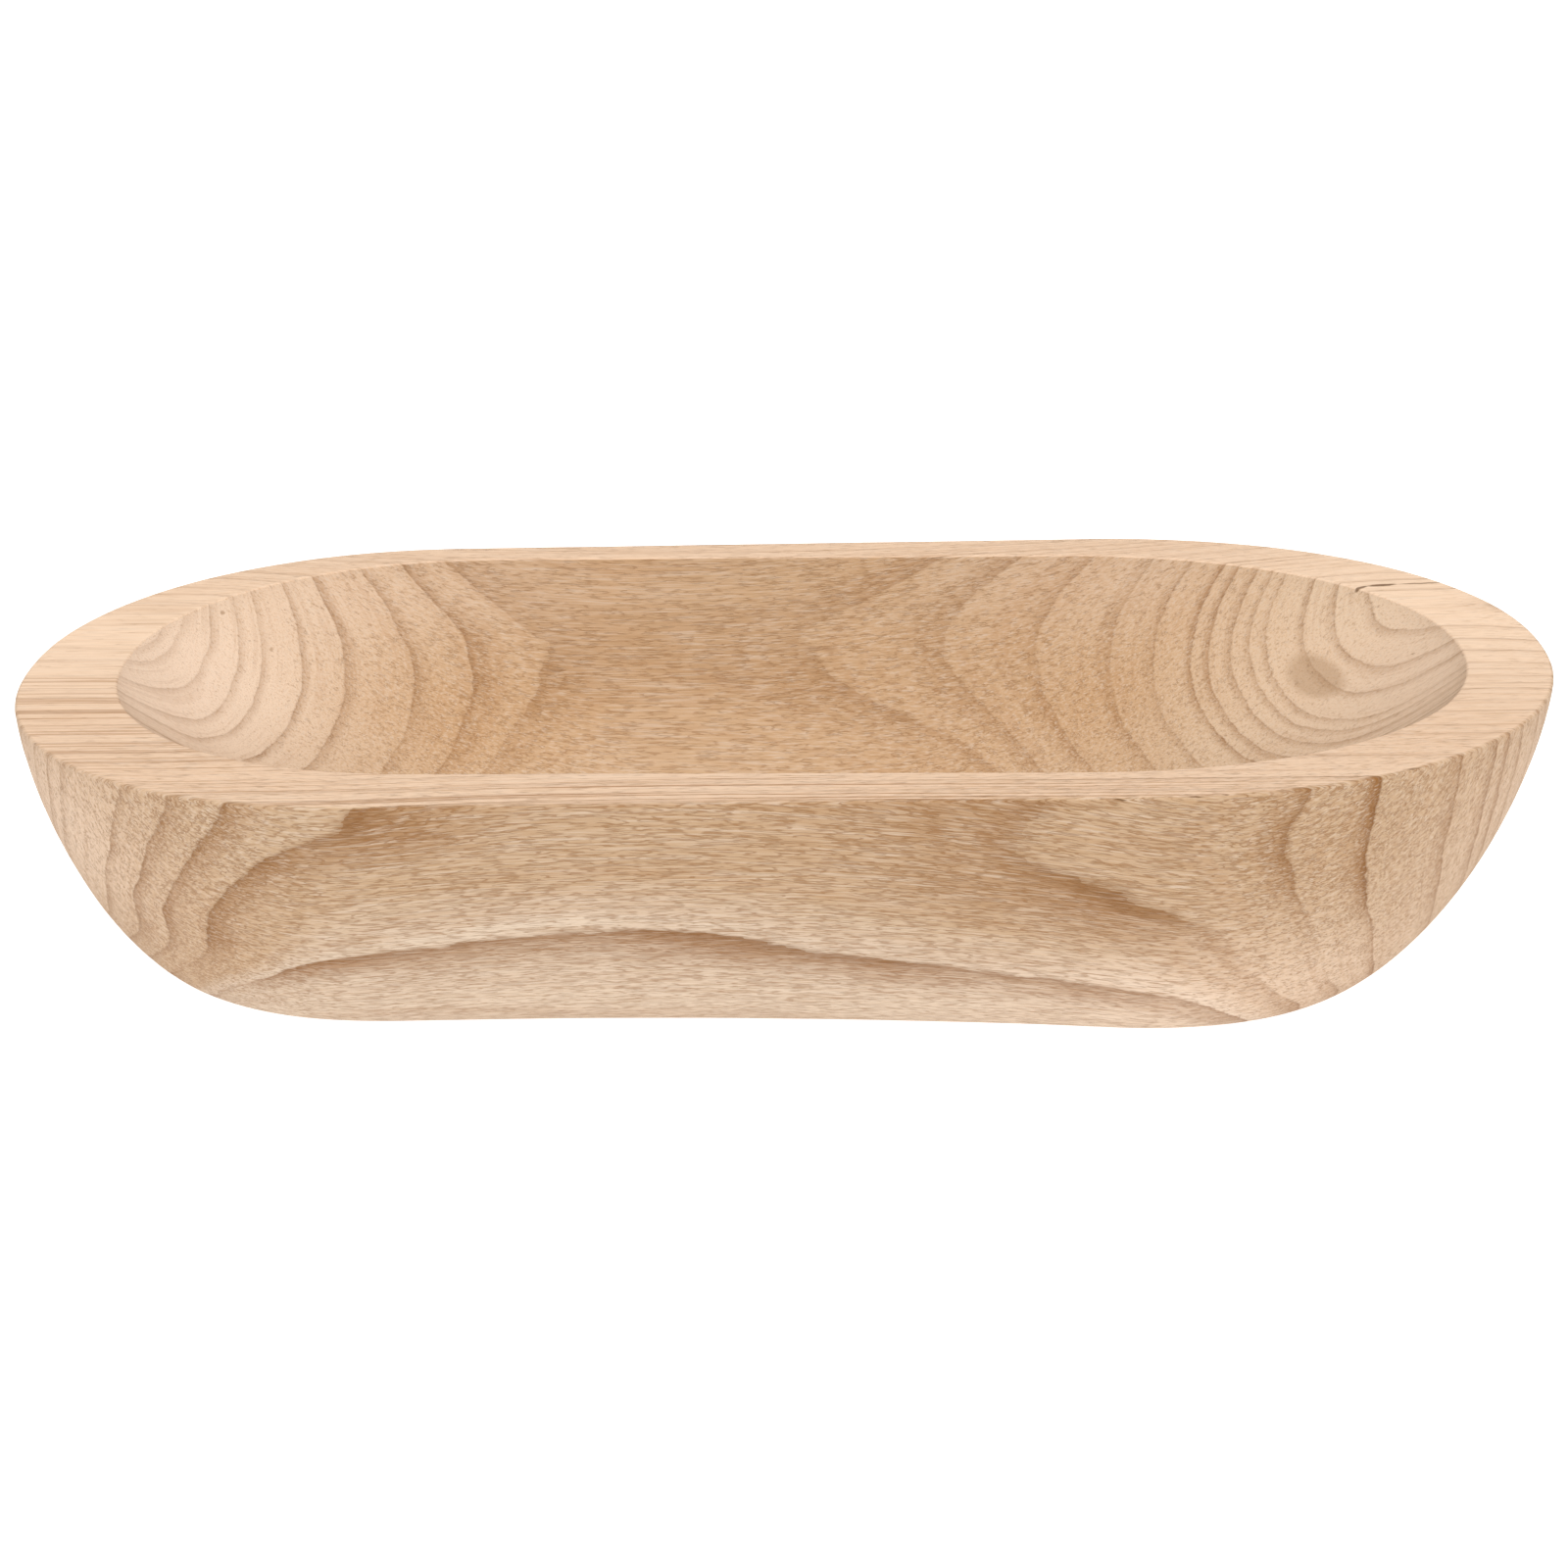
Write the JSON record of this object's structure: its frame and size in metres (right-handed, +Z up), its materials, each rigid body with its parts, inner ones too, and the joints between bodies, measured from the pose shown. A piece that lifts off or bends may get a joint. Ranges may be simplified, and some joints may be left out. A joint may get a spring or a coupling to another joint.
{
  "type": "wooden bowl",
  "caption": "Long oblong wooden bowl carved from one block, with a broad flat rim, a scooped hollow, rounded ends and a flat foot.",
  "frame": {"origin": "on the resting face, under the middle of the bowl's length and width", "axes": "+X along the length towards the higher end of the rim, +Y across the width towards the back, +Z up"},
  "size_m": [0.5, 0.225, 0.113],
  "materials": {
    "pale_wood": "sanded, unvarnished, matt"
  },
  "bodies": {
    "root": {"bowl": "pale_wood"}
  },
  "joints": []
}
